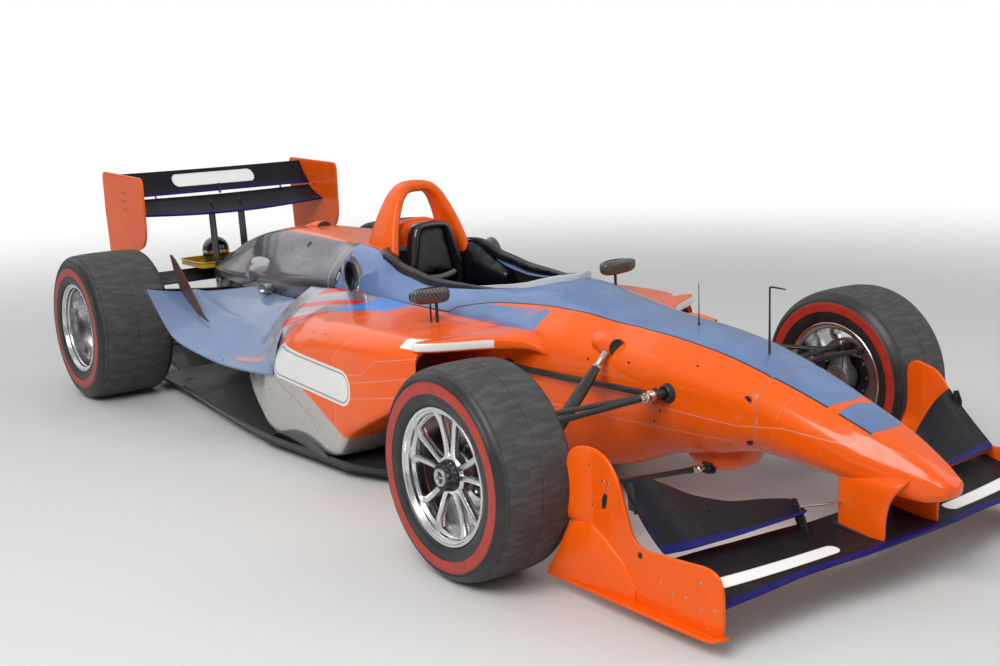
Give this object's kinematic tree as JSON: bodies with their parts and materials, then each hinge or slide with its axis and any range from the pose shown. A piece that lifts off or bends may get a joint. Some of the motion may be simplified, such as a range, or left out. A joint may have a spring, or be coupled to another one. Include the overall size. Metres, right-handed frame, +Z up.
{
  "type": "open wheel racing car",
  "caption": "Single-seat open wheel racing car with front and rear wings, sidepods, wishbone suspension, steered front wheels and slick tyres.",
  "frame": {"origin": "on the ground under the middle of the whole car", "axes": "+X points to the nose, +Y to the car's left, +Z up"},
  "size_m": [4.795, 1.9936, 1.031],
  "materials": {
    "orange_body": "gloss paint",
    "silver_body": "airbrushed metallic paint",
    "grey_body": "satin grey-blue paint",
    "carbon": "lacquered woven carbon",
    "black_metal": "satin black",
    "padding": "matt black foam",
    "polished_rim": "polished",
    "alloy": "machined alloy",
    "cast_alloy": "cast, dull",
    "yellow_tray": "gloss yellow",
    "tyre": "worn slick rubber"
  },
  "bodies": {
    "chassis": {"antennas": "black_metal", "cockpit_surround": "padding", "engine": "cast_alloy", "engine_cover": "silver_body", "front_endplate_left": "orange_body", "front_endplate_right": "orange_body", "front_lower_wishbones": "black_metal", "front_pushrods": "black_metal", "front_upper_wishbones": "black_metal", "front_wing_flaps": "carbon", "front_wing_main": "carbon", "gearbox": "cast_alloy", "gearbox_dome": "carbon", "gearbox_tray": "yellow_tray", "headrest": "padding", "mirrors": "carbon", "nose_cone": "orange_body", "nose_pylons": "orange_body", "rear_beam_wing": "carbon", "rear_endplate_left": "orange_body", "rear_endplate_right": "orange_body", "rear_lower_wishbones": "black_metal", "rear_pushrods": "black_metal", "rear_upper_wishbones": "black_metal", "rear_uprights": "alloy", "rear_wing_flap": "carbon", "rear_wing_main": "carbon", "rear_wing_struts": "carbon", "roll_hoop": "orange_body", "seat": "padding", "sidepod_left": "orange_body", "sidepod_right": "orange_body", "tub": "orange_body", "undertray": "carbon", "wheel_fairings": "grey_body"},
    "front_left_knuckle": {"front_upright_left": "alloy"},
    "front_right_knuckle": {"front_upright_right": "alloy"},
    "front_left_wheel": {"front_tyre_left": "tyre", "front_rim_left": "polished_rim", "front_hub_left": "alloy"},
    "front_right_wheel": {"front_tyre_right": "tyre", "front_rim_right": "polished_rim", "front_hub_right": "alloy"},
    "rear_left_wheel": {"rear_tyre_left": "tyre", "rear_rim_left": "polished_rim", "rear_hub_left": "alloy"},
    "rear_right_wheel": {"rear_tyre_right": "tyre", "rear_rim_right": "polished_rim", "rear_hub_right": "alloy"},
    "rack": {"steering_rack": "black_metal"},
    "hand_wheel": {"steering_wheel": "padding"}
  },
  "joints": [
    {"name": "front_left_steer", "type": "hinge", "parent": "chassis", "child": "front_left_knuckle", "pos_m": [1.353, 0.79, 0.324], "axis": [0, 0, 1], "range_deg": [-15, 15]},
    {"name": "front_right_steer", "type": "hinge", "parent": "chassis", "child": "front_right_knuckle", "pos_m": [1.353, -0.79, 0.324], "axis": [0, 0, 1], "range_deg": [-15, 15]},
    {"name": "rack_slide", "type": "slide", "parent": "chassis", "child": "rack", "axis": [0, 1, 0], "range_m": [-0.0223, 0.0223]},
    {"name": "hand_wheel_turn", "type": "hinge", "parent": "chassis", "child": "hand_wheel", "pos_m": [0.503, 0, 0.6], "axis": [0.9936, 0, -0.113], "range_deg": [-121, 121]},
    {"name": "front_left_spin", "type": "hinge", "parent": "front_left_knuckle", "child": "front_left_wheel", "pos_m": [1.353, 0.862, 0.324], "axis": [0, 1, 0], "continuous": true},
    {"name": "front_right_spin", "type": "hinge", "parent": "front_right_knuckle", "child": "front_right_wheel", "pos_m": [1.353, -0.862, 0.324], "axis": [0, 1, 0], "continuous": true},
    {"name": "rear_left_spin", "type": "hinge", "parent": "chassis", "child": "rear_left_wheel", "pos_m": [-1.707, 0.817, 0.343], "axis": [0, 1, 0], "continuous": true},
    {"name": "rear_right_spin", "type": "hinge", "parent": "chassis", "child": "rear_right_wheel", "pos_m": [-1.707, -0.817, 0.343], "axis": [0, 1, 0], "continuous": true}
  ],
  "couplings": [
    {"joint": "front_right_steer", "follows": "front_left_steer", "ratio": 1},
    {"joint": "rack_slide", "follows": "front_left_steer", "m_per_rad": 0.085},
    {"joint": "hand_wheel_turn", "follows": "front_left_steer", "ratio": -8}
  ]
}
